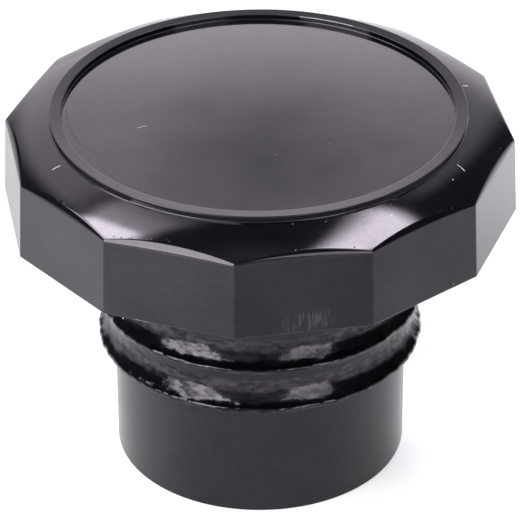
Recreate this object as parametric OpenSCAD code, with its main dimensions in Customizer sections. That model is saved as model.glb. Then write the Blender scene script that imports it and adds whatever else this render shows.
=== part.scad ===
// Push-in fuel cap for a moped tank: one hollow moulding in black plastic.
// A twelve-sided grip head stands over a plug with two flared sealing lips.
// Millimetres. The origin is the centre of the plug's open end and +Z is the
// axis of the plug, so the cap stands upright on the rim of its plug.

/* [Plug] */
// Outside diameter of the barrel, below the sealing lips
barrel_d = 27.6; // [25:0.2:29]
// Outside diameter of the plug between and above the sealing lips
root_d = 28; // [26:0.2:29]
// Wall of the barrel
plug_wall = 2.2; // [1.2:0.1:3.5]
// Length of the plug from its open end to the lower edge of the head
plug_len = 26.2; // [22:0.2:40]
// Radius on the outer edge of the open end
rim_round = 0.4; // [0.1:0.1:1]
// Radius in the corner at the closed end of the bore
bore_round = 1.5; // [0.5:0.1:2]

/* [Sealing lips] */
// Bore of the tank's filler tube, which the lips seal in
tube_bore = 30; // [29.6:0.1:32]
// Amount by which each lip is larger than the tube, on the radius
lip_squeeze = 0.35; // [0.1:0.05:0.6]
// Number of lips
lip_count = 2; // [1:1:3]
// Height of the lowest lip above the open end
lip_height = 12.2; // [8:0.2:14]
// Spacing of the lips
lip_pitch = 4.3; // [3.8:0.1:5]
// Radius of the hollow above each lip
lip_cove = 2.8; // [1.8:0.1:3.2]
// Height of the flat edge of each lip
lip_edge = 0.3; // [0.2:0.05:0.6]
// Slope of the underside of each lip, in degrees
lip_back = 26; // [15:1:30]

/* [Head] */
// Number of flats round the head
facet_count = 12; // [8:1:16]
// Width across the flats at the lower edge of the head
head_flats = 46.4; // [44:0.2:56]
// Angle by which the flats lean in towards the top, in degrees
facet_draft = 2.5; // [0:0.5:4]
// Height of the head from its lower edge to the top of the ring
head_h = 9.55; // [8:0.05:14]
// Fall of the crown from the foot of the ring to the corners of the flats
crown_fall = 1.5; // [0.8:0.1:3]
// Height by which the crown bulges above a straight cone
crown_bulge = 0.1; // [0.05:0.05:0.3]

/* [Raised ring] */
// Outside diameter of the ring on top of the head
ring_d = 38.6; // [34:0.2:40]
// Width of the ring
ring_w = 1.1; // [0.8:0.1:2]
// Height of the ring above the crown
ring_h = 0.6; // [0.3:0.05:1.2]
// Depth of the round panel inside the ring
panel_depth = 0.55; // [0.3:0.05:1]
// Radius on the edges of the ring and at its feet
ring_round = 0.15; // [0.05:0.05:0.25]

/* [Shell of the head] */
// Thickness of the top
top_wall = 2.4; // [1.8:0.1:3.5]
// Thickness of the skirt at the middle of a flat, at its lower edge
skirt_wall = 2.4; // [1.6:0.1:3.5]
// Radius in the corners under the head
shell_round = 1.5; // [0.5:0.1:2]

/* [Vent] */
// Diameter of the vent hole in the plug, hidden under the head
vent_d = 1.2; // [0.8:0.1:2]
// Distance from the underside of the top to the centre of the vent hole
vent_drop = 3.2; // [3:0.1:4]

/* [Hidden] */
$fn = 96;
cap_colour = [0.05, 0.05, 0.055];
over = 1;

total_h = plug_len + head_h;
barrel_r = barrel_d / 2;
root_r = root_d / 2;
bore_r = barrel_r - plug_wall;

// The hollow above a lip is an arc that starts upright on the plug.
lip_r = tube_bore / 2 + lip_squeeze;
cove_end = asin(1 - (lip_r - root_r) / lip_cove);
cove_h = lip_cove * cos(cove_end);

ring_r = ring_d / 2;
foot_r = ring_r + ring_round;
panel_r = ring_r - ring_w;
foot_z = total_h - ring_h;
panel_z = total_h - panel_depth;
ceiling_z = foot_z - top_wall;

half_angle = 180 / facet_count;
flat_r = head_flats / 2;
outer_r = flat_r / cos(half_angle) + over;
skirt_r = flat_r - skirt_wall;
corner_z = foot_z - crown_fall;
corner_r = (flat_r - (corner_z - plug_len) * tan(facet_draft)) / cos(half_angle);

// The crown is an arc from the foot of the ring to the corners of the flats.
crown_chord = norm([corner_r - foot_r, crown_fall]);
crown_lean = atan(crown_fall / (corner_r - foot_r));
crown_r = (pow(crown_chord / 2, 2) + pow(crown_bulge, 2)) / (2 * crown_bulge);
crown_mid = [(foot_r + corner_r) / 2, (foot_z + corner_z) / 2];
crown_centre = crown_mid - (crown_r - crown_bulge) * [sin(crown_lean), cos(crown_lean)];

// Half section of the corner that a fillet fills, on the side that x and z point to.
module fillet_section(x, z, r) {
    difference() {
        translate([min(0, x * r), min(0, z * r)]) square(r);
        translate([x * r, z * r]) circle(r = r);
    }
}

// Half section of a hollow that is open below and rounded in its upper corners.
module hollow_section(inner, outer, low, high, r) {
    translate([inner, low]) square([outer - inner, high - r - low]);
    translate([inner + r, low]) square([outer - inner - 2 * r, high - low]);
    for (x = [inner + r, outer - r]) translate([x, high - r]) circle(r = r);
}

// Half section of one lip: a hollow above, a narrow flat edge, a sloped underside.
module lip_section() {
    reach = lip_r - root_r;
    top = lip_edge + cove_h;
    difference() {
        polygon([
            [root_r - over, -(reach + over) * tan(lip_back)],
            [lip_r, 0],
            [lip_r, lip_edge],
            [root_r, top],
            [root_r - over, top],
        ]);
        translate([root_r + lip_cove, top]) circle(r = lip_cove);
    }
}

module plug_section() {
    translate([0, rim_round]) square([barrel_r, lip_height - rim_round]);
    square([barrel_r - rim_round, lip_height]);
    translate([barrel_r - rim_round, rim_round]) circle(r = rim_round);
    translate([0, lip_height]) square([root_r, foot_z - lip_height]);
    for (i = [0 : lip_count - 1])
        translate([0, lip_height + i * lip_pitch]) lip_section();
}

// Half section of the head's outside, before its flats are cut.
module head_section() {
    translate([0, plug_len]) square([outer_r, corner_z - over - plug_len]);
    translate([0, plug_len]) square([foot_r, foot_z - plug_len]);
    intersection() {
        translate(crown_centre) circle(r = crown_r);
        translate([0, corner_z - 2 * over]) square([outer_r, crown_fall + 2 * over]);
    }
}

module ring_section() {
    low = min(foot_z, panel_z) - over;
    translate([panel_r + ring_round, low])
        square([ring_w - 2 * ring_round, total_h - low]);
    translate([panel_r, low]) square([ring_w, total_h - ring_round - low]);
    for (x = [panel_r + ring_round, ring_r - ring_round])
        translate([x, total_h - ring_round]) circle(r = ring_round);
    translate([ring_r, foot_z]) fillet_section(1, 1, ring_round);
    translate([panel_r, panel_z]) fillet_section(-1, 1, ring_round);
    translate([0, low]) square([panel_r, panel_z - low]);
}

module turned_shell() {
    rotate_extrude() difference() {
        union() {
            plug_section();
            head_section();
            ring_section();
        }
        intersection() {
            hollow_section(-bore_r, bore_r, -over, ceiling_z, bore_round);
            translate([0, -over]) square([bore_r, total_h]);
        }
        difference() {
            hollow_section(root_r, skirt_r, plug_len - over, ceiling_z, shell_round);
            square([root_r + over, plug_len]);
        }
    }
}

// The space outside one flat, which leans in towards the top.
module flat_cutter() {
    translate([flat_r, 0, plug_len]) rotate([0, -facet_draft, 0])
        translate([0, -head_flats, -over]) cube([head_flats, 2 * head_flats, total_h]);
}

// The hole through the plug's wall, at the back, that lets air into the tank.
module vent_hole() {
    translate([0, bore_r - over, ceiling_z - vent_drop]) rotate([-90, 0, 0])
        cylinder(d = vent_d, h = root_r - bore_r + 2 * over);
}

module fuel_cap() {
    color(cap_colour) difference() {
        turned_shell();
        for (i = [0 : facet_count - 1])
            rotate([0, 0, (i + 0.5) * 2 * half_angle]) flat_cutter();
        vent_hole();
    }
}

fuel_cap();
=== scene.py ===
"""The looks of a push-in fuel cap for a moped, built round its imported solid.

The cap is one moulding in black plastic: a twelve-sided grip head with a domed crown, a raised ring and a
round top panel, over a hollow plug with two flared sealing lips. One half section is drawn point by point
and spun, the head's columns are drawn onto its flats, and the lips and coves get the uneven surface of soft
plastic that was pulled off its mould. Sizes are in millimetres until the finished mesh is scaled to metres.
"""

import logging
import math
from collections.abc import Iterable, Iterator
from dataclasses import dataclass, field
from enum import Enum, IntEnum

import bmesh
import bpy
from mathutils import Matrix, Vector, noise


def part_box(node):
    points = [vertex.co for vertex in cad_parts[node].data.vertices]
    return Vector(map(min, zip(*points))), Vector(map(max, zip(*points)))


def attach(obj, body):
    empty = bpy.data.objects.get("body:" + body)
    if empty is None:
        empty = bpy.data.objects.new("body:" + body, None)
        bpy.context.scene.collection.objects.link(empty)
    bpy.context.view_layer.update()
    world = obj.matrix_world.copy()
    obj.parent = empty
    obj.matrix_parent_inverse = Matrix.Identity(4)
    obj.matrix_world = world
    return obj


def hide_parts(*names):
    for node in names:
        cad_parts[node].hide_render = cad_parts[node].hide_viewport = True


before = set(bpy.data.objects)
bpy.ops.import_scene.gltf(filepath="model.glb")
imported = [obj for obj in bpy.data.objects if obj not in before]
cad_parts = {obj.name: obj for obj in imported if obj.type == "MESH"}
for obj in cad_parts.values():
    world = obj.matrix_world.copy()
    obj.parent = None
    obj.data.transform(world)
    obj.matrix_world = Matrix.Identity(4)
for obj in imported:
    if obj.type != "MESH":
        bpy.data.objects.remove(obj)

MM = 0.001
NODE = "fuel_cap"
BODY = "root"
WEAR = "wear"

Pair = tuple[float, float]
Triple = tuple[float, float, float]
Socket = bpy.types.NodeSocket
Inputs = dict[str | int, object]

log = logging.getLogger("fuel_cap")


class Zone(Enum):
    """The stretches of the half section, in the order in which it is drawn."""

    PANEL = "panel"
    RING = "ring"
    CROWN = "crown"
    CROWN_EDGE = "crown edge"
    FLAT = "flat"
    HEM = "hem"
    UNDERSIDE = "underside"
    POCKET = "pocket"
    ROOT = "root"
    COVE = "cove"
    LIP = "lip"
    LIP_BACK = "lip back"
    BARREL = "barrel"
    RIM = "rim"
    BORE = "bore"


class Finish(IntEnum):
    """The finishes on the moulding, by the place of each in its list of materials."""

    SATIN = 0
    PANEL = 1
    GLOSS = 2
    PULLED = 3


ZONE_FINISH = {
    Zone.PANEL: Finish.PANEL,
    Zone.RING: Finish.GLOSS,
    Zone.CROWN: Finish.GLOSS,
    Zone.CROWN_EDGE: Finish.GLOSS,
    Zone.COVE: Finish.PULLED,
    Zone.LIP: Finish.PULLED,
    Zone.LIP_BACK: Finish.PULLED,
}
HEAD_ZONES = (Zone.CROWN, Zone.CROWN_EDGE, Zone.FLAT, Zone.HEM, Zone.UNDERSIDE)
PULLED_ZONES = (Zone.COVE, Zone.LIP, Zone.LIP_BACK)


def smooth(value: float, low: float, high: float) -> float:
    """Goes smoothly from 0 to 1.

    Args:
        value: The number to place between the two ends.
        low: The value at which the result is 0.
        high: The value at which the result is 1.

    Returns:
        The eased share of the way from low to high.
    """
    share = min(1.0, max(0.0, (value - low) / (high - low)))
    return share * share * (3.0 - 2.0 * share)


def eased(along: float) -> float:
    """Moves even steps from 0 to 1 closer together at both ends."""
    return (1.0 - math.cos(along * math.pi)) / 2


@dataclass(frozen=True)
class Station:
    """One point of the half section, and how far along its zone it lies."""

    radius: float
    height: float
    zone: Zone
    along: float


class Section:
    """A half section drawn from the middle of the top round to the middle of the bore."""

    HOLD = 0.03

    def __init__(self, radius: float, height: float, zone: Zone) -> None:
        """Starts the section with its first point."""
        self.stations = [Station(radius, height, zone, 0.0)]

    def add(self, zone: Zone, radius: float, height: float, along: float = 1.0) -> None:
        """Adds one point."""
        self.stations.append(Station(radius, height, zone, along))

    def stretch(self, zone: Zone, radius: float, height: float, places: Iterable[float]) -> None:
        """Draws points on the straight way from the last point.

        Args:
            zone: Zone of the points.
            radius: Distance of the way's end from the axis.
            height: Height of the way's end.
            places: Where the points lie, as shares of the way.
        """
        first = self.stations[-1]
        for along in places:
            run, rise = (radius - first.radius) * along, (height - first.height) * along
            self.add(zone, first.radius + run, first.height + rise, along)

    def line(self, zone: Zone, radius: float, height: float, steps: int = 1) -> None:
        """Draws a straight stretch in even steps."""
        self.stretch(zone, radius, height, (step / steps for step in range(1, steps + 1)))

    def held_line(self, zone: Zone, radius: float, height: float, steps: int = 1) -> None:
        """Draws a straight stretch with a close point at each end, which keeps its shading flat.

        Args:
            zone: Zone of the stretch.
            radius: Distance of its end from the axis.
            height: Height of its end.
            steps: Number of even steps between the two close points.
        """
        first = self.stations[-1]
        share = self.HOLD / math.hypot(radius - first.radius, height - first.height)
        even = [share + (1.0 - 2 * share) * step / steps for step in range(steps + 1)]
        self.stretch(zone, radius, height, [*even, 1.0])

    def arc(self, zone: Zone, centre: Pair, size: float,
            start: float, end: float, steps: int) -> None:
        """Draws an arc, whose first point is already there.

        Args:
            zone: Zone of the arc.
            centre: Radius and height of its centre.
            size: Radius of the arc.
            start: Angle of its first point in degrees, from outwards and turning upwards.
            end: Angle of its last point in degrees.
            steps: Number of points after the first.
        """
        for step in range(1, steps + 1):
            along = step / steps
            angle = math.radians(start + (end - start) * along)
            self.add(zone, centre[0] + size * math.cos(angle), centre[1] + size * math.sin(angle), along)


@dataclass(frozen=True)
class Ring:
    """The raised ring on top of the head and the round panel inside it."""

    radius: float = 19.3
    width: float = 1.1
    height: float = 0.6
    panel_depth: float = 0.55
    edge: float = 0.05
    foot: float = 0.08
    panel_swell: float = 0.15
    panel_steps: int = 14
    edge_steps: int = 3
    hold: float = 0.04
    lean: float = 0.03

    def swell(self, radius: float) -> float:
        """Height of the panel's slight dome above its rim."""
        share = min(1.0, radius / (self.radius - self.width - self.foot))
        return self.panel_swell * (1.0 - share * share)

    def trace(self, top: float) -> Section:
        """Draws the panel and the ring, from the middle to the ring's outer foot.

        Args:
            top: Height of the ring's top face.

        Returns:
            The section, which the head goes on with.
        """
        inner, edge, foot, steps = self.radius - self.width, self.edge, self.foot, self.edge_steps
        panel, low, outer_foot = top - self.panel_depth, top - self.lean, top - self.height + self.foot
        section = Section(0.0, panel + self.panel_swell, Zone.PANEL)
        for step in range(1, self.panel_steps + 1):
            radius = (inner - foot - self.hold) * step / self.panel_steps
            section.add(Zone.PANEL, radius, panel + self.swell(radius), step / self.panel_steps)
        section.add(Zone.PANEL, inner - foot, panel)
        section.arc(Zone.PANEL, (inner - foot, panel + foot), foot, -90, 0, steps)
        section.held_line(Zone.RING, inner, low - edge)
        section.arc(Zone.RING, (inner + edge, low - edge), edge, 180, 90, steps)
        section.held_line(Zone.RING, self.radius - edge, top)
        section.arc(Zone.RING, (self.radius - edge, top - edge), edge, 90, 0, steps)
        section.held_line(Zone.RING, self.radius, outer_foot)
        section.arc(Zone.RING, (self.radius + foot, outer_foot), foot, 180, 270, steps)
        return section


@dataclass(frozen=True)
class Head:
    """The grip head: a crown that falls from the ring to twelve flats which lean in towards the top."""

    across_flats: float
    top: float
    measured_at: float = 26.2
    bottom: float = 25.95
    flats: int = 12
    draft: float = 2.5
    foot_radius: float = 19.38
    foot_drop: float = 0.6
    crown_fall: float = 1.7
    crown_bulge: float = 0.1
    wall_drop: float = 0.19
    corner_edge: float = 0.3
    hem_edge: float = 0.12
    skirt_radius: float = 20.8
    chamfer: float = 0.1
    column_pull: float = 3.3
    pull_full: float = 0.8
    zone_steps: tuple[int, ...] = (14, 8, 12, 4, 4)

    @property
    def half_turn(self) -> float:
        """Half the angle that one flat takes up, in degrees."""
        return 180.0 / self.flats

    @property
    def crown_arc(self) -> Triple:
        """Fits the crown's arc between the ring and a corner of the head.

        Returns:
            Radius and height of the arc's centre, and the arc's own radius.
        """
        corner = self.top - self.foot_drop - self.crown_fall
        reach = self.apothem(corner) / math.cos(math.radians(self.half_turn))
        run = reach - self.foot_radius
        chord, lean = math.hypot(run, self.crown_fall), math.atan2(self.crown_fall, run)
        size = ((chord / 2) ** 2 + self.crown_bulge ** 2) / (2 * self.crown_bulge)
        inward = size - self.crown_bulge
        return (
            (self.foot_radius + reach) / 2 - inward * math.sin(lean),
            corner + self.crown_fall / 2 - inward * math.cos(lean),
            size,
        )

    def apothem(self, height: float) -> float:
        """Distance of a flat from the axis at a height."""
        return self.across_flats / 2 - (height - self.measured_at) * math.tan(math.radians(self.draft))

    def wall_radius(self, height: float, turn: float) -> float:
        """Distance of the wall from the axis, with its corners rounded.

        Args:
            height: Height on the wall.
            turn: Angle from the middle of the flat, in degrees.

        Returns:
            The distance at that height and angle.
        """
        flat, half = self.apothem(height), math.radians(self.half_turn)
        angle = abs(math.radians(turn))
        tangent = math.atan((flat - self.corner_edge) * math.tan(half) / flat)
        if angle <= tangent:
            return flat / math.cos(angle)
        centre, off = (flat - self.corner_edge) / math.cos(half), half - angle
        return centre * math.cos(off) + math.sqrt(self.corner_edge ** 2 - (centre * math.sin(off)) ** 2)

    def shoulder(self, turn: float) -> tuple[float, float, float, float]:
        """Fits the rounding between the crown and the wall in one column.

        The wall's top edge is straight from corner to corner, so the rounding is widest at mid-flat.

        Args:
            turn: Angle from the middle of the flat, in degrees.

        Returns:
            Radius and height of the rounding's centre, its own radius, and the wall's lean as an angle.
        """
        arc_r, arc_z, size = self.crown_arc
        lean = math.atan(math.tan(math.radians(self.draft)) / math.cos(math.radians(turn)))
        height = self.top - self.foot_drop - self.crown_fall - self.wall_drop
        radius = self.wall_radius(height, turn)
        gap = size ** 2 - (radius - arc_r) ** 2 - (height - arc_z) ** 2
        facing = (radius - arc_r) * math.cos(lean) + (height - arc_z) * math.sin(lean)
        edge = gap / (2 * (size - facing))
        return radius - edge * math.cos(lean), height - edge * math.sin(lean), edge, lean

    def place(self, zone: Zone, along: float, turn: float) -> Pair:
        """Places one point of a column of the head.

        Args:
            zone: Zone of the point.
            along: Share of the way along the zone.
            turn: Angle of the column from the middle of its flat, in degrees.

        Returns:
            Radius and height of the point.
        """
        edge_r, edge_z, edge, wall_up = self.shoulder(turn)
        arc_r, arc_z, size = self.crown_arc
        crown_end = math.atan2(edge_z - arc_z, edge_r - arc_r)
        if zone is Zone.CROWN:
            last = arc_r + size * math.cos(crown_end)
            radius = self.foot_radius + (last - self.foot_radius) * eased(along)
            return radius, arc_z + math.sqrt(size ** 2 - (radius - arc_r) ** 2)
        if zone is Zone.CROWN_EDGE:
            angle = crown_end + (wall_up - crown_end) * along
            return edge_r + edge * math.cos(angle), edge_z + edge * math.sin(angle)
        hem_z = self.bottom + self.hem_edge
        hem_r = self.wall_radius(hem_z, turn) - self.hem_edge
        if zone is Zone.FLAT:
            high = edge_z + edge * math.sin(wall_up)
            height = high + (hem_z - high) * eased(along)
            return self.wall_radius(height, turn), height
        if zone is Zone.HEM:
            angle = -along * math.pi / 2
            return hem_r + self.hem_edge * math.cos(angle), hem_z + self.hem_edge * math.sin(angle)
        inner = self.skirt_radius + self.chamfer
        return hem_r + (inner - hem_r) * along, self.bottom

    def drawn_angle(self, angle: float, pull: float) -> Pair:
        """Draws a column towards the nearest corner, so that the roundings there get enough columns.

        Args:
            angle: Angle of the column before, in degrees.
            pull: Strength of the pull, from 0 to 1.

        Returns:
            The column's new angle, and its angle from the middle of its flat.
        """
        corner = round(angle / (2 * self.half_turn)) * 2 * self.half_turn
        share = abs(angle - corner) / self.half_turn
        drawn = math.expm1(self.column_pull * share) / math.expm1(self.column_pull)
        offset = self.half_turn * (share + (drawn - share) * pull)
        return corner + math.copysign(offset, angle - corner), self.half_turn - offset

    def trace(self, section: Section) -> None:
        """Draws the crown, the wall, the hem and the underside as far as the pocket.

        Args:
            section: The section to go on with.
        """
        for zone, count in zip(HEAD_ZONES, self.zone_steps):
            for step in range(1, count + 1):
                radius, height = self.place(zone, step / count, 0.0)
                section.add(zone, radius, height, step / count)
        section.line(Zone.UNDERSIDE, self.skirt_radius, self.bottom + self.chamfer)

    def column_weight(self, station: Station) -> float:
        """Works out how strongly the columns are drawn to the corners at a point of the section.

        Args:
            station: The point.

        Returns:
            The strength, from 0 to 1.
        """
        if station.zone is Zone.CROWN:
            return smooth(station.along, 0.0, self.pull_full)
        if station.zone is Zone.UNDERSIDE:
            return 1.0 - station.along
        return 1.0


@dataclass(frozen=True)
class Plug:
    """The hollow plug, its two sealing lips, and the pocket under the head that takes the tube's wall."""

    ceiling: float = 32.75
    pocket_round: float = 1.5
    root_radius: float = 14.0
    barrel_radius: float = 13.8
    bore_radius: float = 11.6
    bore_round: float = 1.5
    rim_round: float = 0.12
    rim_chamfer: float = 0.1
    lip_radius: float = 15.35
    lip_edge: float = 0.3
    lip_slope: float = 26.0
    lip_heights: Pair = (16.5, 12.2)
    cove: float = 2.8
    vent_radius: float = 0.6
    vent_height: float = 29.55
    vent_rows: int = 4
    vent_pitch: float = 0.18
    round_steps: int = 6
    wall_steps: int = 4
    rest_steps: int = 2
    cove_steps: int = 15
    lip_steps: int = 3
    back_steps: int = 5
    root_steps: int = 12
    barrel_steps: int = 8
    bore_steps: int = 10

    def trace_pocket(self, section: Section, skirt: float) -> None:
        """Draws the pocket under the head, as far as the top of the plug's root.

        Args:
            section: The section to go on with.
            skirt: Radius of the pocket's outer wall.
        """
        low, size = self.ceiling - self.pocket_round, self.pocket_round
        section.line(Zone.POCKET, skirt, low, self.wall_steps)
        section.arc(Zone.POCKET, (skirt - size, low), size, 0, 90, self.round_steps)
        section.line(Zone.POCKET, self.root_radius + size, self.ceiling, self.lip_steps)
        section.arc(Zone.POCKET, (self.root_radius + size, low), size, 90, 180, self.round_steps)

    def trace_vent_rows(self, section: Section, zone: Zone, radius: float, way: int) -> None:
        """Adds evenly spaced points across the vent hole, on the wall that it goes through.

        Args:
            section: The section to go on with.
            zone: Zone of that wall.
            radius: Radius of the wall.
            way: 1 where the section runs upwards, and -1 where it runs downwards.
        """
        for step in range(-self.vent_rows, self.vent_rows + 1):
            section.add(zone, radius, self.vent_height + way * step * self.vent_pitch)

    def trace_outside(self, section: Section) -> None:
        """Draws the outside of the plug with its lips, down to its open end.

        Args:
            section: The section to go on with.
        """
        self.trace_vent_rows(section, Zone.ROOT, self.root_radius, way=-1)
        for low in self.lip_heights:
            reach = self.lip_radius - self.root_radius
            end = math.degrees(math.asin(1.0 - reach / self.cove))
            cove_z = low + self.lip_edge + self.cove * math.cos(math.radians(end))
            above = self.lip_steps if section.stations[-1].zone is Zone.LIP_BACK else self.root_steps
            section.line(Zone.ROOT, self.root_radius, cove_z, above)
            middle = (self.root_radius + self.cove, cove_z)
            section.arc(Zone.COVE, middle, self.cove, 180, 270 - end, self.cove_steps)
            section.line(Zone.LIP, self.lip_radius, low, self.lip_steps)
            foot = self.root_radius if low != self.lip_heights[-1] else self.barrel_radius
            drop = (self.lip_radius - foot) * math.tan(math.radians(self.lip_slope))
            section.line(Zone.LIP_BACK, foot, low - drop, self.back_steps)
        section.held_line(Zone.BARREL, self.barrel_radius, self.rim_round, self.barrel_steps)
        middle = (self.barrel_radius - self.rim_round, self.rim_round)
        section.arc(Zone.RIM, middle, self.rim_round, 0, -90, self.back_steps)
        section.line(Zone.RIM, self.bore_radius + self.rim_chamfer, 0.0, self.rest_steps)

    def trace_bore(self, section: Section) -> None:
        """Draws the bore from its rim to the middle of its ceiling.

        Args:
            section: The section to go on with.
        """
        section.line(Zone.BORE, self.bore_radius, self.rim_chamfer)
        section.line(Zone.BORE, self.bore_radius, self.vent_height - 2 * self.vent_radius, self.bore_steps)
        self.trace_vent_rows(section, Zone.BORE, self.bore_radius, way=1)
        low, middle = self.ceiling - self.bore_round, self.bore_radius - self.bore_round
        section.line(Zone.BORE, self.bore_radius, low, self.rest_steps)
        section.arc(Zone.BORE, (middle, low), self.bore_round, 0, 90, self.round_steps)
        section.line(Zone.BORE, 0.0, self.ceiling, self.back_steps)


@dataclass(frozen=True)
class PulledSurface:
    """How uneven the lips and coves are, where the soft plastic was pulled off its mould."""

    lip_start: float = 14.5
    lip_full: float = 15.3
    ragged: float = 0.09
    ragged_length: float = 0.9
    nick: float = 0.2
    nick_length: float = 1.7
    nick_level: float = 0.3
    wander: float = 0.05
    wander_length: float = 3.4
    lump: float = 0.045
    lump_length: float = 3.6
    lump_height: float = 1.5
    cove_ease: float = 0.3
    back_ease: float = 0.4
    lip_pitch: float = 4.3
    level_step: float = 17.0
    nick_shift: Triple = (9.0, 4.0, 0.0)
    wander_shift: Triple = (3.0, 7.0, 5.0)
    lump_fractal: tuple[float, float, int] = (1.0, 2.0, 3)
    ragged_fractal: tuple[float, float, int] = (0.8, 2.0, 4)

    def share(self, station: Station) -> float:
        """Fades the unevenness out where the smooth walls begin.

        Args:
            station: A point of a lip or a cove.

        Returns:
            The share of the unevenness there, from 0 to 1.
        """
        if station.zone is Zone.COVE:
            return smooth(station.along, 0.0, self.cove_ease)
        if station.zone is Zone.LIP_BACK:
            return 1.0 - smooth(station.along, self.back_ease, 1.0)
        return 1.0

    def offset(self, place: Vector, normal: Vector) -> Vector:
        """Works out how far a point of a lip or a cove is pushed.

        Args:
            place: The point.
            normal: Its outward direction.

        Returns:
            The move, in millimetres.
        """
        radius = math.hypot(place.x, place.y)
        outward = Vector((place.x, place.y, 0.0)) / radius
        stretched = Vector((place.x, place.y, place.z * self.lump_length / self.lump_height))
        lump = noise.fractal(stretched / self.lump_length, *self.lump_fractal)
        edge = smooth(radius, self.lip_start, self.lip_full)
        lip_point = Vector((place.x, place.y, round(place.z / self.lip_pitch) * self.level_step))
        ragged = noise.fractal(lip_point / self.ragged_length, *self.ragged_fractal)
        nick = noise.noise(lip_point / self.nick_length + Vector(self.nick_shift)) - self.nick_level
        nick = max(0.0, nick)
        wander = noise.noise(lip_point / self.wander_length + Vector(self.wander_shift))
        move = normal * (lump * self.lump)
        move += outward * (edge * (ragged * self.ragged - nick * self.nick))
        move.z += edge * wander * self.wander
        return move


@dataclass
class Spun:
    """The spun mesh, whose vertices know which point of the section they come from."""

    mesh: bmesh.types.BMesh
    stations: list[Station]
    row: bmesh.types.BMLayerItem

    def points(self, *zones: Zone) -> Iterator[tuple[bmesh.types.BMVert, Station]]:
        """Goes through the vertices of some zones.

        Args:
            *zones: The zones.

        Yields:
            Each vertex, with the point of the section that it comes from.
        """
        for vert in self.mesh.verts:
            station = self.stations[vert[self.row]]
            if station.zone in zones:
                yield vert, station


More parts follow.
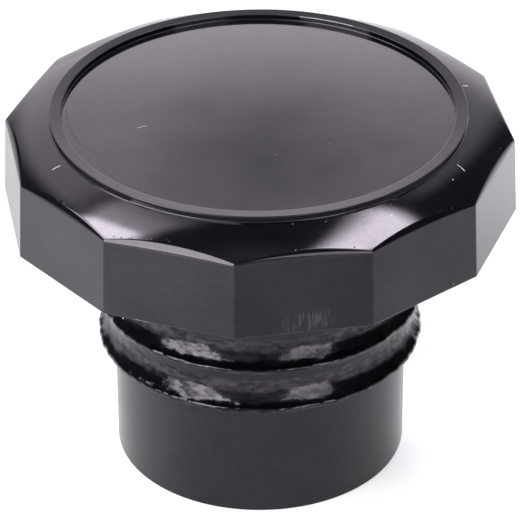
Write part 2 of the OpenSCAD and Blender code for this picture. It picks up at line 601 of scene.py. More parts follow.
@dataclass
class Moulding:
    """The whole cap, as one spun mesh."""

    head: Head
    ring: Ring = field(default_factory=Ring)
    plug: Plug = field(default_factory=Plug)
    pulled: PulledSurface = field(default_factory=PulledSurface)
    columns: int = 432
    merge: float = 0.001
    pitted: float = 0.3
    pitted_from: Pair = (0.5, 0.7)
    vent_margin: float = 0.1
    name: str = "fuel_cap_moulding"

    def stations(self) -> list[Station]:
        """Draws the whole half section.

        Returns:
            Its points in order.
        """
        section = self.ring.trace(self.head.top)
        self.head.trace(section)
        self.plug.trace_pocket(section, self.head.skirt_radius)
        self.plug.trace_outside(section)
        self.plug.trace_bore(section)
        return section.stations

    def spin(self) -> Spun:
        """Spins the section into a closed body.

        Returns:
            The spun mesh.
        """
        mesh, stations, points = bmesh.new(), self.stations(), []
        row = mesh.verts.layers.int.new("row")
        for index, station in enumerate(stations):
            point = mesh.verts.new((station.radius, 0.0, station.height))
            point[row] = index
            points.append(point)
        edges = [mesh.edges.new(pair) for pair in zip(points, points[1:])]
        bmesh.ops.spin(mesh, geom=points + edges, cent=(0, 0, 0), axis=(0, 0, 1),
                       angle=math.tau, steps=self.columns, use_merge=True)
        bmesh.ops.remove_doubles(mesh, verts=mesh.verts[:], dist=self.merge)
        return Spun(mesh, stations, row)

    def dress_faces(self, spun: Spun) -> None:
        """Gives each face the finish of its zone, and smooth shading.

        Args:
            spun: The spun mesh.
        """
        for face in spun.mesh.faces:
            zone = spun.stations[max(vert[spun.row] for vert in face.verts)].zone
            face.material_index = ZONE_FINISH.get(zone, Finish.SATIN)
            face.smooth = True

    def draw_onto_flats(self, spun: Spun) -> None:
        """Moves the head's columns from their turned form onto the flats and their roundings.

        Args:
            spun: The spun mesh.
        """
        for vert, station in spun.points(*HEAD_ZONES):
            if station.radius <= self.head.skirt_radius and station.zone is Zone.UNDERSIDE:
                continue
            angle = math.degrees(math.atan2(vert.co.y, vert.co.x))
            angle, turn = self.head.drawn_angle(angle, self.head.column_weight(station))
            radius, height = self.head.place(station.zone, station.along, turn)
            angle = math.radians(angle)
            vert.co = (radius * math.cos(angle), radius * math.sin(angle), height)

    def spread_wear(self, spun: Spun) -> None:
        """Writes where fine pits may lie: beside the crown's inner and outer edge.

        Args:
            spun: The spun mesh.
        """
        wear = spun.mesh.verts.layers.float.new(WEAR)
        inner, outer = self.pitted_from
        for vert, station in spun.points(Zone.CROWN):
            near_edge = max(smooth(station.along, inner, 0.0), smooth(station.along, outer, 1.0))
            vert[wear] = self.pitted * near_edge

    def cut_vent(self, spun: Spun, zone: Zone) -> list[bmesh.types.BMEdge]:
        """Cuts the vent's round opening in one wall, at the back of the plug.

        Args:
            spun: The spun mesh.
            zone: Zone of the wall.

        Returns:
            The opening's edges.
        """
        middle, reach = self.plug.vent_height, self.plug.vent_rows + self.vent_margin
        rise, turn = reach * self.plug.vent_pitch, reach * math.tau / self.columns
        patch = {
            vert for vert, station in spun.points(zone)
            if abs(station.height - middle) < rise and abs(math.atan2(vert.co.x, vert.co.y)) < turn
        }
        faces = [face for face in spun.mesh.faces if patch.issuperset(face.verts)]
        cut = set(faces)
        rim = [edge for edge in spun.mesh.edges if sum(face in cut for face in edge.link_faces) == 1]
        bmesh.ops.delete(spun.mesh, geom=faces, context="FACES")
        for vert in {vert for edge in rim for vert in edge.verts}:
            flat = Vector((vert.co.x, vert.co.z - middle)).normalized() * self.plug.vent_radius
            depth = math.sqrt(vert.co.x ** 2 + vert.co.y ** 2 - flat.x ** 2)
            vert.co = (flat.x, depth, middle + flat.y)
        return rim

    def open_vent(self, spun: Spun) -> None:
        """Opens the vent hole, by a round opening in each wall and a bridge between them.

        Args:
            spun: The spun mesh.
        """
        rims = self.cut_vent(spun, Zone.ROOT) + self.cut_vent(spun, Zone.BORE)
        for face in bmesh.ops.bridge_loops(spun.mesh, edges=rims)["faces"]:
            face.material_index = Finish.SATIN
            face.smooth = True

    def roughen(self, spun: Spun) -> None:
        """Gives the lips and coves their lumps, ragged edges and nicks, once the normals are up to date."""
        for vert, station in spun.points(*PULLED_ZONES):
            vert.co += self.pulled.offset(vert.co, vert.normal) * self.pulled.share(station)

    def build(self) -> bpy.types.Object:
        """Builds the moulding, in metres.

        Returns:
            Its object.
        """
        spun = self.spin()
        mesh = spun.mesh
        for step in (self.dress_faces, self.draw_onto_flats, self.spread_wear, self.open_vent):
            step(spun)
        bmesh.ops.recalc_face_normals(mesh, faces=mesh.faces[:])
        mesh.normal_update()
        self.roughen(spun)
        bmesh.ops.scale(mesh, vec=(MM, MM, MM), verts=mesh.verts[:])
        piece = as_object(mesh, self.name)
        log.info("%s: %d stations, %d faces", self.name, len(spun.stations), len(piece.data.polygons))
        return piece


def new_object(name: str, data: bpy.types.ID) -> bpy.types.Object:
    """Makes an object of the scene.

    Args:
        name: Name of the object.
        data: Its mesh, light or camera.

    Returns:
        The object.
    """
    made = bpy.data.objects.new(name, data)
    bpy.context.scene.collection.objects.link(made)
    return made


def as_object(mesh: bmesh.types.BMesh, name: str) -> bpy.types.Object:
    """Turns a finished bmesh into an object of the scene.

    Args:
        mesh: The bmesh, which is freed.
        name: Name of the object and its mesh.

    Returns:
        The object.
    """
    data = bpy.data.meshes.new(name)
    mesh.to_mesh(data)
    mesh.free()
    return new_object(name, data)


class Graph:
    """Short calls for the nodes of one node tree."""

    def __init__(self, tree: bpy.types.NodeTree) -> None:
        """Empties the tree, to build in it."""
        self.tree = tree
        tree.nodes.clear()

    def feed(self, socket: Socket, value: object) -> None:
        """Links a socket to another, or sets its value.

        Args:
            socket: The input to fill.
            value: The output to link to it, or its value.
        """
        if isinstance(value, Socket):
            self.tree.links.new(value, socket)
        else:
            socket.default_value = value

    def node(self, kind: str, inputs: Inputs | None = None, **settings: object) -> bpy.types.Node:
        """Adds a node.

        Args:
            kind: Name of the node's type.
            inputs: Values or sockets for its inputs, by name or place.
            **settings: Properties of the node by name, which are set first.

        Returns:
            The new node.
        """
        made = self.tree.nodes.new(kind)
        for key, value in settings.items():
            setattr(made, key, value)
        for key, value in (inputs or {}).items():
            self.feed(made.inputs[key], value)
        return made

    def math(self, operation: str, *values: object) -> Socket:
        """Adds a Math node and returns its output."""
        return self.node("ShaderNodeMath", dict(enumerate(values)), operation=operation).outputs[0]

    def vector(self, operation: str, *values: object) -> Socket:
        """Adds a Vector Math node and returns its output, the number where the operation gives one."""
        made = self.node("ShaderNodeVectorMath", dict(enumerate(values)), operation=operation)
        return made.outputs["Value" if operation in ("DOT_PRODUCT", "LENGTH") else "Vector"]

    def noise(self, point: Socket, scale: float, detail: float) -> Socket:
        """Adds a Noise Texture node and returns its value."""
        return self.node("ShaderNodeTexNoise", {"Vector": point, "Scale": scale, "Detail": detail}).outputs[0]

    def split(self, value: Socket) -> bpy.types.bpy_prop_collection:
        """Splits a vector or a colour into its three numbers."""
        return self.node("ShaderNodeSeparateXYZ", {0: value}).outputs

    def mix(self, share: object, first: object, second: object) -> Socket:
        """Adds a colour Mix node.

        Args:
            share: Share of the second colour.
            first: The first colour, as a socket or four numbers.
            second: The second colour.

        Returns:
            Its output.
        """
        made = self.node("ShaderNodeMix", data_type="RGBA")
        sockets = {socket.identifier: socket for socket in (*made.inputs, *made.outputs)}
        for name, value in (("Factor_Float", share), ("A_Color", first), ("B_Color", second)):
            self.feed(sockets[name], value)
        return sockets["Result_Color"]

    def ease(self, value: object, low: float, high: float, start: float = 0.0, end: float = 1.0) -> Socket:
        """Adds a smooth Map Range node.

        Args:
            value: What it maps.
            low: The value that maps to start.
            high: The value that maps to end.
            start: Result at low.
            end: Result at high.

        Returns:
            Its output.
        """
        numbers = dict(enumerate((value, low, high, start, end)))
        return self.node("ShaderNodeMapRange", numbers, interpolation_type="SMOOTHSTEP").outputs[0]


@dataclass(frozen=True)
class Unevenness:
    """The plastic's fine unevenness. Each noise has its scale per millimetre and its detail."""

    waves: Pair = (0.55, 2.0)
    grain: Pair = (7.0, 2.0)
    cloud: Pair = (0.16, 4.0)
    mottle: Pair = (1.9, 5.0)
    pit_scale: float = 4.2
    pit_reach: Pair = (0.4, 0.05)
    pit_fade: Pair = (0.0, 0.15)
    speck_scale: float = 0.42
    speck_sizes: tuple[float, float, float, float] = (0.55, 1.0, 0.0, 0.035)
    speck_fade: Pair = (0.0, 0.01)

    def cells(self, graph: Graph, point: Socket, scale: float) -> tuple[Socket, Socket]:
        """Scatters cells, such as those of pits.

        Args:
            graph: The node tree.
            point: The shaded point.
            scale: Number of cells per unit of the point.

        Returns:
            The distance from the cell's middle, and the cell's own random number.
        """
        made = graph.node("ShaderNodeTexVoronoi", {"Vector": point, "Scale": scale})
        return made.outputs["Distance"], graph.split(made.outputs["Color"])[0]

    def group(self) -> bpy.types.NodeTree:
        """Builds the node group.

        Its inputs are a point in millimetres, the depths of the slow waves, the fine grain and the pits in
        millimetres, and where pits may lie. It puts out the height, a cloudy mask, a mottled mask and a mask
        of pale specks.

        Returns:
            The node group.
        """
        tree = bpy.data.node_groups.new("moulded_surface", "ShaderNodeTree")
        tree.interface.new_socket("Point", in_out="INPUT", socket_type="NodeSocketVector")
        for name in ("Waves", "Grain", "Pits", "Pitted"):
            tree.interface.new_socket(name, in_out="INPUT", socket_type="NodeSocketFloat")
        for name in ("Height", "Cloud", "Mottle", "Speck"):
            tree.interface.new_socket(name, in_out="OUTPUT", socket_type="NodeSocketFloat")
        graph = Graph(tree)
        given = graph.node("NodeGroupInput").outputs
        point = given["Point"]
        away, chance = self.cells(graph, point, self.pit_scale)
        chosen = graph.ease(graph.math("SUBTRACT", given["Pitted"], chance), *self.pit_fade)
        pit = graph.math("MULTIPLY", graph.ease(away, *self.pit_reach), chosen)
        away, chance = self.cells(graph, point, self.speck_scale)
        size = graph.ease(chance, *self.speck_sizes)
        height = graph.math("MULTIPLY", graph.noise(point, *self.waves), given["Waves"])
        grain = graph.math("MULTIPLY", graph.noise(point, *self.grain), given["Grain"])
        height = graph.math("ADD", height, grain)
        height = graph.math("SUBTRACT", height, graph.math("MULTIPLY", pit, given["Pits"]))
        graph.node("NodeGroupOutput", {
            "Height": height,
            "Cloud": graph.noise(point, *self.cloud),
            "Mottle": graph.noise(point, *self.mottle),
            "Speck": graph.ease(graph.math("SUBTRACT", size, away), *self.speck_fade),
        })
        return tree


def line_group() -> bpy.types.NodeTree:
    """Builds the node group that puts out a soft mask along a straight line between two points.

    Returns:
        The node group.
    """
    tree = bpy.data.node_groups.new("line_mark", "ShaderNodeTree")
    for name in ("Point", "Start", "End"):
        tree.interface.new_socket(name, in_out="INPUT", socket_type="NodeSocketVector")
    tree.interface.new_socket("Half Width", in_out="INPUT", socket_type="NodeSocketFloat")
    tree.interface.new_socket("Mask", in_out="OUTPUT", socket_type="NodeSocketFloat")
    graph = Graph(tree)
    given = graph.node("NodeGroupInput").outputs
    along = graph.vector("SUBTRACT", given["End"], given["Start"])
    away = graph.vector("SUBTRACT", given["Point"], given["Start"])
    squared = graph.vector("DOT_PRODUCT", along, along)
    reach = graph.math("DIVIDE", graph.vector("DOT_PRODUCT", away, along), squared)
    reach = graph.math("MINIMUM", graph.math("MAXIMUM", reach, 0.0), 1.0)
    nearest = graph.node("ShaderNodeVectorMath", {0: along, "Scale": reach}, operation="SCALE")
    gap = graph.vector("LENGTH", graph.vector("SUBTRACT", away, nearest.outputs[0]))
    share = graph.math("DIVIDE", gap, given["Half Width"])
    graph.node("NodeGroupOutput", {"Mask": graph.ease(share, *LINE_FADE)})
    return tree


@dataclass(frozen=True)
class Mark:
    """A hair, a fibre, a scratch or a painted highlight on the surface, as a chain of points in millimetres.
    """

    points: tuple[Triple, ...]
    half_width: float
    strength: float = 1.0


LINE_FADE = (1.3, 0.5)
DARK_HAIRS = (
    Mark(((-17.82, -0.72, 35.2), (-17.22, -3.46, 35.2), (-15.86, -6.72, 35.2), (-14.07, -8.68, 35.2),
          (-12.01, -10.61, 35.2)), 0.05, 0.5),
    Mark(((2.64, 14.11, 35.2), (3.99, 12.7, 35.2), (5.46, 10.91, 35.2)), 0.055, 0.8),
    Mark(((-10.31, 9.1, 35.2), (-10.23, 7.12, 35.2), (-10.07, 5.75, 35.2)), 0.05, 0.6),
)
PANEL_FIBRES = (
    Mark(((-10.77, -3.81, 35.3), (-10.4, -3.51, 35.3), (-9.96, -3.36, 35.3)), 0.045, 0.45),
)
# Pale marks on the crown, and a painted highlight on the ring.
TOP_MARKS_AND_PAINTED_SHINE = (
    Mark(((-17.66, -10.85, 34.73), (-17.33, -10.65, 34.86), (-17.01, -10.54, 34.97)), 0.045, 0.8),
    Mark(((18.67, -7.42, 34.95), (19.03, -7.69, 34.8), (19.34, -8.0, 34.65)), 0.05, 0.85),
    Mark(((18.35, -9.7, 34.72), (18.4, -9.72, 34.72)), 0.07, 0.8),
    Mark(((18.61, 7.02, 35.01), (18.96, 7.25, 34.88)), 0.09, 0.9),
    Mark(((13.2, -16.2, 34.7), (13.4, -16.1, 34.7)), 0.06, 0.7),
    # A painted highlight: a broad, faint pale streak on the ring's top at the back right, where a shine lies.
    Mark(((2.4, 18.05, 35.75), (3.7, 17.84, 35.75), (5.6, 17.34, 35.75), (7.5, 16.6, 35.75)), 0.1, 0.3),
)
# Pale burrs along the hem and on the barrel just under the lower lip; their pale colour is partly a painted
# highlight, standing in for the bright lines and glints that they catch.
BURRS_AND_PAINTED_GLINTS = (
    Mark(((-15.9, -17.95, 26.0), (-9.0, -21.6, 26.0), (-3.4, -23.3, 26.0)), 0.05, 0.45),
    Mark(((4.4, -23.0, 26.02), (7.4, -22.3, 26.02)), 0.05, 0.4),
    Mark(((12.1, -6.55, 11.25), (11.85, -7.0, 10.9), (11.5, -7.6, 10.65)), 0.05, 0.6),
)
SCUFFS = (Mark(((5.1, -22.8, 26.9), (7.6, -22.1, 27.2)), 1.0),)
DEEP_BLACK = (0.0016, 0.0015, 0.0024)


@dataclass(frozen=True)
class Plastic:
    """One finish of the black plastic."""

    name: str
    roughness: float
    colour: Triple = (0.0032, 0.003, 0.0042)
    colour_range: Pair = (0.7, 1.3)
    colour_levels: Pair = (0.3, 0.7)
    rough_range: Pair = (0.9, 1.12)
    rough_levels: Pair = (0.2, 0.8)
    shine: float = 0.5
    shine_levels: Pair = (0.3, 0.7)
    mottle_levels: Pair = (0.35, 0.65)
    tint: Triple = (0.97, 0.92, 1.0)
    pale_dust_and_glint: Triple = (0.5, 0.49, 0.5)
    ior: float = 1.5
    waves: float = 0.0008
    grain: float = 0.00006
    pits: float = 0.0
    stretch: Triple = (1.0, 1.0, 1.0)
    mottle: float = 0.06
    fibres_and_glints: tuple[Mark, ...] = ()
    hairs: tuple[Mark, ...] = ()
    scuffs: tuple[Mark, ...] = ()
    stroke_squeeze: Triple = (1.0, 1.0, 0.12)
    strokes: Pair = (6.0, 4.0)
    stroke_levels: tuple[float, float, float, float] = (0.42, 0.72, 0.0, 0.07)

    def lay_marks(self, graph: Graph, point: Socket, marks: tuple[Mark, ...],
                  group: bpy.types.NodeTree) -> Socket | float:
        """Lays chains of line masks.

        Args:
            graph: The material's node tree.
            point: The shaded point in millimetres.
            marks: The marks to lay.
            group: The line mask's node group.

        Returns:
            The mask of all the marks, or 0 without any.
        """
        mask = 0.0
        for mark in marks:
            for start, end in zip(mark.points, mark.points[1:]):
                ends = {"Point": point, "Start": start, "End": end, "Half Width": mark.half_width}
                line = graph.node("ShaderNodeGroup", ends, node_tree=group)
                part = graph.math("MULTIPLY", line.outputs["Mask"], mark.strength)
                mask = graph.math("MAXIMUM", mask, part)
        return mask

    def pale_marks(self, graph: Graph, point: Socket, speck: Socket, line: bpy.types.NodeTree) -> Socket:
        """Gathers the pale marks.

        Args:
            graph: The material's node tree.
            point: The shaded point in millimetres.
            speck: The mask of specks.
            line: The line mask's node group.

        Returns:
            The mask of the specks, the fibres, the painted highlights and glints, and the upright strokes of
            the scuffs.
        """
        upright = graph.vector("MULTIPLY", point, self.stroke_squeeze)
        strokes = graph.ease(graph.noise(upright, *self.strokes), *self.stroke_levels)
        scuff = graph.math("MULTIPLY", self.lay_marks(graph, point, self.scuffs, line), strokes)
        pale = graph.math("MAXIMUM", speck, self.lay_marks(graph, point, self.fibres_and_glints, line))
        return graph.math("MAXIMUM", pale, scuff)

    def gloss(self, graph: Graph, cloud: Socket, mottle: Socket, dark: Socket | float) -> Socket:
        """Builds the strength of the shine.

        Args:
            graph: The material's node tree.
            cloud: The cloudy mask.
            mottle: The mottled mask.
            dark: The mask of dark hairs, which take the shine away.

        Returns:
            The strength, which is even without clouds, mottle or hairs.
        """
        level = graph.math("MULTIPLY", graph.math("SUBTRACT", 1.0, dark), self.shine)
        cloudy = graph.ease(cloud, *self.shine_levels, 1.0 - self.mottle, 1.0 + self.mottle)
        mottled = graph.ease(mottle, *self.mottle_levels, -self.mottle, self.mottle)
        return graph.math("MULTIPLY", level, graph.math("ADD", cloudy, mottled))

    def material(self, surface: bpy.types.NodeTree, line: bpy.types.NodeTree) -> bpy.types.Material:
        """Builds the finish as a material.

        Args:
            surface: The node group with the fine unevenness.
            line: The node group with the line mask.

        Returns:
            The material.
        """
        made = bpy.data.materials.new(self.name)
        made.use_nodes = True
        graph = Graph(made.node_tree)
        place = graph.node("ShaderNodeTexCoord").outputs["Object"]
        point = graph.vector("MULTIPLY", place, (1 / MM, 1 / MM, 1 / MM))
        uneven = graph.node("ShaderNodeGroup", {
            "Point": graph.vector("MULTIPLY", point, self.stretch),
            "Waves": self.waves,
            "Grain": self.grain,
            "Pits": self.pits,
            "Pitted": graph.node("ShaderNodeAttribute", attribute_name=WEAR).outputs["Fac"],
        }, node_tree=surface).outputs
        low, high = ((*(part * share for part in self.colour), 1.0) for share in self.colour_range)
        base = graph.mix(graph.ease(uneven["Cloud"], *self.colour_levels), low, high)
        pale = self.pale_marks(graph, point, uneven["Speck"], line)
        dark = self.lay_marks(graph, point, self.hairs, line)
        rough = (self.roughness * share for share in self.rough_range)
        bump = {"Strength": 1.0, "Distance": MM, "Height": uneven["Height"]}
        shader = graph.node("ShaderNodeBsdfPrincipled", {
            # The pale colour paints the specks, fibres and scuffs, and also the painted highlights and glints
            # among the marks.
            "Base Color": graph.mix(pale, base, (*self.pale_dust_and_glint, 1.0)),
            "Roughness": graph.ease(uneven["Cloud"], *self.rough_levels, *rough),
            "Specular IOR Level": self.gloss(graph, uneven["Cloud"], uneven["Mottle"], dark),
            "IOR": self.ior,
            "Specular Tint": (*self.tint, 1.0),
            "Normal": graph.node("ShaderNodeBump", bump).outputs[0],
        })
        graph.node("ShaderNodeOutputMaterial", {"Surface": shader.outputs[0]})
        return made


@dataclass(frozen=True)
class Lamp:
    """One soft lamp, in metres, placed by its direction from the cap as the camera sees it, in degrees."""

    name: str
    azimuth: float
    elevation: float
    distance: float
    width: float
    height: float
    radiance: float


@dataclass(frozen=True)
class Edge:
    """One soft edge of a patch, in degrees: a point on it, the way to its bright side, and its softness."""

    azimuth: float
    elevation: float
    facing: float
    soft: float


@dataclass(frozen=True)
class Hollow:
    """A dark round place in a bright patch: its middle, and how far its full and its last dark reach."""

    azimuth: float
    elevation: float
    inner: float
    outer: float


@dataclass(frozen=True)
class SkyPatch:
    """A bright patch of the surroundings, bounded by soft edges, as seen from the cap in degrees."""

    name: str
    strength: float
    edges: tuple[Edge, ...]
    hollow: Hollow | None = None

    def glow(self, graph: Graph, across: Socket, rise: Socket) -> Socket:
        """Builds the patch.

        Args:
            graph: The world's node tree.
            across: Azimuth of the direction.
            rise: Elevation of the direction.

        Returns:
            The patch's radiance in that direction.
        """
        total = self.strength
        for edge in self.edges:
            facing = math.radians(edge.facing)
            side = graph.math("MULTIPLY", graph.math("SUBTRACT", across, edge.azimuth), math.cos(facing))
            high = graph.math("MULTIPLY", graph.math("SUBTRACT", rise, edge.elevation), math.sin(facing))
            inside = graph.ease(graph.math("ADD", side, high), -edge.soft, edge.soft)
            total = graph.math("MULTIPLY", inside, total)
        if self.hollow:
            reach = (self.hollow.inner, self.hollow.outer)
            aside = graph.math("POWER", graph.math("SUBTRACT", across, self.hollow.azimuth), 2.0)
            above = graph.math("POWER", graph.math("SUBTRACT", rise, self.hollow.elevation), 2.0)
            away = graph.math("SQRT", graph.math("ADD", aside, above))
            total = graph.math("MULTIPLY", graph.ease(away, *reach), total)
        total.node.label = self.name
        return total


@dataclass(frozen=True)
class FloorPatch:
    """A painted pool of light or painted shade in the floor's glow, in degrees round the cap and millimetres
    from its axis.
    """

    azimuth: float
    reach: float
    amount: float
    start: float
    full: float


LEFT_END = Edge(-51.5, 55.0, 40.4, 1.0)
BACKDROP_SIDES = (Edge(-37.0, 38.0, 29.4, 3.0), Edge(31.5, 42.0, 163.7, 3.0))
HORIZON_TOP = Edge(0.0, 10.0, 90.0, 7.0)
MIDDLE_SIDES = (Edge(-9.0, 30.0, 0.0, 6.0), Edge(7.5, 30.0, 180.0, 6.0))
MIDDLE_TOP = Edge(0.0, 44.0, -90.0, 5.0)
ROOM_RISE = (Edge(0.0, 8.0, 90.0, 6.0), Edge(0.0, 54.0, -90.0, 6.0))
HOLLOW_TOP = Hollow(0.0, 50.0, 14.0, 25.0)
HOLLOW_MIDDLE = Hollow(0.2, 30.8, 0.8, 4.2)
SKY = (
    SkyPatch("right box", 15.0, (Edge(33.2, 66.5, -35.8, 7.5), Edge(38.0, 56.0, 90.0, 2.0),
                                 Edge(53.0, 61.0, 150.0, 1.0), Edge(45.0, 77.0, -90.0, 3.0))),
    SkyPatch("left box", 12.5, (Edge(-43.5, 57.0, 180.0, 3.0), Edge(-45.0, 51.0, 120.0, 1.5),
                                Edge(-46.0, 63.0, -90.0, 1.0), LEFT_END)),
    SkyPatch("left panel", 4.5, (Edge(-35.0, 52.0, 90.0, 2.0), Edge(-35.0, 64.5, -90.0, 2.0),
                                 Edge(-28.0, 58.0, 180.0, 18.0), LEFT_END)),
    SkyPatch("backdrop", 0.7, (*BACKDROP_SIDES, Edge(0.0, 50.0, -90.0, 5.0), HORIZON_TOP), HOLLOW_TOP),
    SkyPatch("backdrop left", 0.7, (*BACKDROP_SIDES, Edge(0.0, 48.0, -90.0, 5.0),
                                    Edge(0.0, 30.0, 180.0, 28.0), HORIZON_TOP), HOLLOW_TOP),
    SkyPatch("middle", 0.95, (*MIDDLE_SIDES, MIDDLE_TOP, HORIZON_TOP), HOLLOW_MIDDLE),
    SkyPatch("middle low", 1.1, (Edge(-5.0, 30.0, 0.0, 3.0), Edge(5.0, 30.0, 180.0, 3.0),
                                 Edge(0.0, 28.2, -90.0, 1.8), HORIZON_TOP)),
    SkyPatch("middle high", 0.75, (*MIDDLE_SIDES, Edge(0.0, 33.0, 90.0, 2.0), MIDDLE_TOP)),
    SkyPatch("horizon", 1.3, (Edge(0.0, 10.0, -90.0, 7.0),)),
    SkyPatch("left wing", 10.0, (Edge(-54.0, 55.0, 180.0, 3.0), Edge(-80.0, 50.0, 0.0, 6.0),
                                 Edge(-65.0, 45.0, 90.0, 3.0), Edge(-65.0, 60.0, -90.0, 3.0))),
    SkyPatch("right wing", 6.0, (Edge(50.0, 70.0, 0.0, 5.0), Edge(100.0, 70.0, 180.0, 10.0),
                                 Edge(70.0, 69.0, 90.0, 2.0), Edge(70.0, 76.0, -90.0, 2.0))),
    SkyPatch("overhead", 0.2, (Edge(0.0, 76.0, 90.0, 4.0),)),
    SkyPatch("room front left", 0.35, (Edge(-140.0, 30.0, 180.0, 20.0), *ROOM_RISE)),
    SkyPatch("room front right", 0.35, (Edge(140.0, 30.0, 0.0, 20.0), *ROOM_RISE)),
)


@dataclass
class Studio:
    """The camera, the floor, the surroundings and the lamps.

    Lengths are in millimetres, but the floor's radius and the clip distances are in metres. Angles are in
    degrees.
    """

    lens: float = 245.36
    sensor: float = 36.0
    clip: Pair = (0.01, 20.0)
    aim_height: float = 19.2
    aim_aside: float = 0.05
    distance: float = 335.3
    elevation: float = 32.11
    azimuth: float = 5.32
    roll: float = 0.37
    floor_radius: float = 4.0
    floor_sides: int = 96
    floor_drop: float = 0.02
    floor_colour: Triple = (0.42, 0.42, 0.42)
    floor_glow: float = 0.58
    floor_tint: Triple = (1.0, 0.98, 1.015)
    # Painted light and shade in the floor's glow, which the cap mirrors: brighter pools at the left and the
    # right, a brighter place close to the barrel's right side where the cap's shadow would fall, and painted
    # shade in front and to the front right.
    painted_floor_light: tuple[FloorPatch, ...] = (
        FloorPatch(-118.0, 75.0, 0.56, 45.0, 70.0),
        FloorPatch(161.0, 50.0, -0.24, 45.0, 70.0),
        FloorPatch(41.0, 50.0, 1.15, 45.0, 70.0),
        FloorPatch(180.0, 75.0, -0.17, 16.0, 26.0),
        FloorPatch(80.0, 45.0, 0.3, 60.0, 40.0),
    )
    sky_tint: Triple = (1.01, 0.955, 1.03)
    room: float = 0.07
    sky: tuple[SkyPatch, ...] = SKY
    lamps: tuple[Lamp, ...] = (
        Lamp("front_left_softbox", -130.0, 36.0, 0.26, 0.17, 0.34, 8.0),
        Lamp("front_right_softbox", 145.0, 25.0, 0.5, 0.26, 0.4, 3.0),
    )
    sun_strength: float = 0.8
    sun_spread: float = 60.0
    sun_azimuth: float = -120.0
    sun_elevation: float = 65.0

    def direction(self, azimuth: float, elevation: float) -> Vector:
        """Turns a direction given from the camera into one in the cap's frame.

        Args:
            azimuth: Angle to the right of the way the camera looks, in degrees.
            elevation: Angle above the horizon, in degrees.

        Returns:
            The unit direction away from the cap.
        """
        turn, rise = math.radians(azimuth - self.azimuth), math.radians(elevation)
        return Vector((math.sin(turn) * math.cos(rise), math.cos(turn) * math.cos(rise), math.sin(rise)))

    def place_camera(self) -> None:
        """Makes the camera, which looks down on the front of the cap."""
        data = bpy.data.cameras.new("camera")
        data.lens, data.sensor_width = self.lens, self.sensor
        data.clip_start, data.clip_end = self.clip
        camera = new_object("camera", data)
        back = self.direction(180.0, self.elevation)
        right = Vector((0.0, 0.0, 1.0)).cross(back).normalized()
        up = back.cross(right)
        axes = Matrix((right, up, back)).transposed().to_4x4()
        axes = axes @ Matrix.Rotation(math.radians(-self.roll), 4, "Z")
        target = Vector((0.0, 0.0, self.aim_height * MM)) + right * self.aim_aside * MM
        camera.matrix_world = Matrix.Translation(target + back * self.distance * MM) @ axes
        bpy.context.scene.camera = camera

    def lay_floor(self) -> None:
        """Makes the pale floor, which can be seen through from below."""
        mesh = bmesh.new()
        bmesh.ops.create_circle(mesh, cap_ends=True, segments=self.floor_sides, radius=self.floor_radius)
        bmesh.ops.translate(mesh, vec=(0.0, 0.0, -self.floor_drop * MM), verts=mesh.verts[:])
        floor = as_object(mesh, "floor")
        made = bpy.data.materials.new("floor_paper")
        made.use_nodes = True
        graph = Graph(made.node_tree)
        path = graph.node("ShaderNodeLightPath").outputs
        seen = graph.math("ADD", path["Is Camera Ray"], path["Is Glossy Ray"])
        seen = graph.math("ADD", seen, path["Is Transmission Ray"])
        strength = graph.math("MULTIPLY", seen, self.floor_light(graph))
        paper = graph.node("ShaderNodeBsdfDiffuse", {"Color": (*self.floor_colour, 1.0)})
        glow = graph.node("ShaderNodeEmission", {"Color": (*self.floor_tint, 1.0), "Strength": strength})
        both = graph.node("ShaderNodeAddShader", {0: paper.outputs[0], 1: glow.outputs[0]})
        clear = graph.node("ShaderNodeBsdfTransparent")
        below = graph.node("ShaderNodeNewGeometry").outputs["Backfacing"]
        side = graph.node("ShaderNodeMixShader", {0: below, 1: both.outputs[0], 2: clear.outputs[0]})
        graph.node("ShaderNodeOutputMaterial", {"Surface": side.outputs[0]})
        floor.data.materials.append(made)

    def floor_light(self, graph: Graph) -> Socket:
        """Builds the floor's glow, with painted pools of light and painted shade round the cap.

        Args:
            graph: The node tree of the floor's material.

        Returns:
            The strength of the light.
        """
        place = graph.node("ShaderNodeTexCoord").outputs["Object"]
        axes = graph.split(place)
        flat = graph.vector("MULTIPLY", place, (1.0, 1.0, 0.0))
        away = graph.vector("LENGTH", flat)
        across = graph.math("DEGREES", graph.math("ARCTAN2", axes[0], axes[1]))
        total = self.floor_glow
        for patch in self.painted_floor_light:
            turned = graph.math("SUBTRACT", across, patch.azimuth - self.azimuth)
            turned = graph.math("ABSOLUTE", graph.math("WRAP", turned, 180.0, -180.0))
            near = graph.ease(away, patch.start * MM, patch.full * MM, 0.0, patch.amount)
            part = graph.math("MULTIPLY", graph.ease(turned, patch.reach, 0.0), near)
            total = graph.math("ADD", part, total)
        return total

    def hang_lamps(self) -> None:
        """Makes the lamps, each turned to face the cap."""
        for lamp in self.lamps:
            data = bpy.data.lights.new(lamp.name, "AREA")
            data.shape = "RECTANGLE"
            data.size, data.size_y = lamp.width, lamp.height
            data.energy = lamp.radiance * math.pi * lamp.width * lamp.height
            light = new_object(lamp.name, data)
            way = self.direction(lamp.azimuth, lamp.elevation)
            aim = Vector((0.0, 0.0, self.aim_height * MM))
            turn = way.to_track_quat("Z", "Y").to_matrix().to_4x4()
            light.matrix_world = Matrix.Translation(aim + way * lamp.distance) @ turn
            light.visible_camera = False

    def raise_sun(self) -> None:
        """Makes the wide sun that lights the floor and isn't mirrored in the cap."""
        data = bpy.data.lights.new("floor_sun", "SUN")
        data.energy, data.angle = self.sun_strength, math.radians(self.sun_spread)
        sun = new_object("floor_sun", data)
        way = self.direction(self.sun_azimuth, self.sun_elevation)
        sun.matrix_world = way.to_track_quat("Z", "Y").to_matrix().to_4x4()
        sun.visible_glossy = False

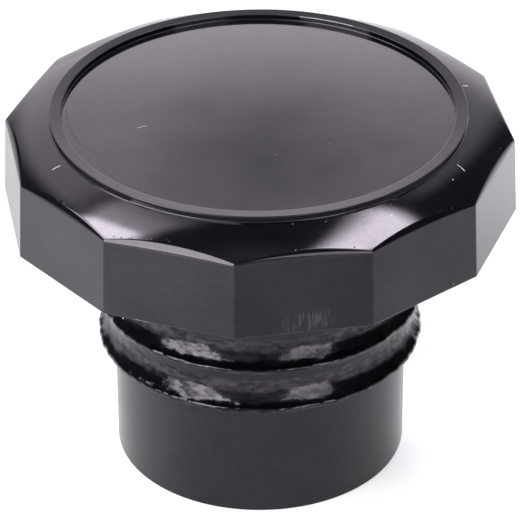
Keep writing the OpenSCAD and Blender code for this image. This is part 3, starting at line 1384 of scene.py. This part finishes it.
    def light_surroundings(self) -> None:
        """Makes the world: a white horizon, and bright patches in a dim room."""
        world = bpy.data.worlds.new("surroundings")
        world.use_nodes = True
        bpy.context.scene.world = world
        graph = Graph(world.node_tree)
        look = graph.node("ShaderNodeMapping", {
            "Vector": graph.node("ShaderNodeTexCoord").outputs["Generated"],
            "Rotation": (0.0, 0.0, math.radians(-self.azimuth)),
        }, vector_type="POINT")
        axes = graph.split(look.outputs[0])
        across = graph.math("DEGREES", graph.math("ARCTAN2", axes[0], axes[1]))
        rise = graph.math("DEGREES", graph.math("ARCSINE", axes[2]))
        total = self.room
        for patch in self.sky:
            total = graph.math("ADD", patch.glow(graph, across, rise), total)
        sky = graph.node("ShaderNodeBackground", {"Color": (*self.sky_tint, 1.0), "Strength": total})
        graph.node("ShaderNodeOutputWorld", {"Surface": sky.outputs[0]})

    def build(self) -> None:
        """Sets up the whole studio."""
        bpy.context.scene.view_settings.view_transform = "Standard"
        self.place_camera()
        self.lay_floor()
        self.light_surroundings()
        self.hang_lamps()
        self.raise_sun()
        log.info("studio: %d lamps", len(self.lamps))


def dress(piece: bpy.types.Object) -> None:
    """Gives the moulding its finishes, in the order of Finish.

    Args:
        piece: The moulding.
    """
    surface, line = Unevenness().group(), line_group()
    finishes = (
        Plastic("black_plastic_satin", roughness=0.22, ior=1.41, waves=0.0016, grain=0.0003,
                fibres_and_glints=BURRS_AND_PAINTED_GLINTS, scuffs=SCUFFS),
        Plastic("black_plastic_panel", roughness=0.11, grain=0.00012, mottle=0.05,
                fibres_and_glints=PANEL_FIBRES, hairs=DARK_HAIRS),
        Plastic("black_plastic_gloss", roughness=0.075, colour=DEEP_BLACK, waves=0.0016, grain=0.0003,
                pits=0.01, fibres_and_glints=TOP_MARKS_AND_PAINTED_SHINE, mottle=0.03),
        Plastic("black_plastic_pulled", roughness=0.11, colour=DEEP_BLACK, ior=1.43, waves=0.012,
                grain=0.006, stretch=(0.6, 0.6, 1.4), mottle=0.4),
    )
    for finish in finishes:
        piece.data.materials.append(finish.material(surface, line))


def main() -> None:
    """Builds the studio and the cap."""
    logging.basicConfig(level=logging.INFO, format="%(name)s: %(message)s")
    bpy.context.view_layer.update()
    high = Vector(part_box(NODE)[1]) / MM
    Studio().build()
    across = 2 * high.x * math.cos(math.pi / Head.flats)
    piece = Moulding(Head(across_flats=across, top=high.z)).build()
    dress(piece)
    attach(piece, BODY)
    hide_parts(NODE)


if __name__ == "__main__":
    main()
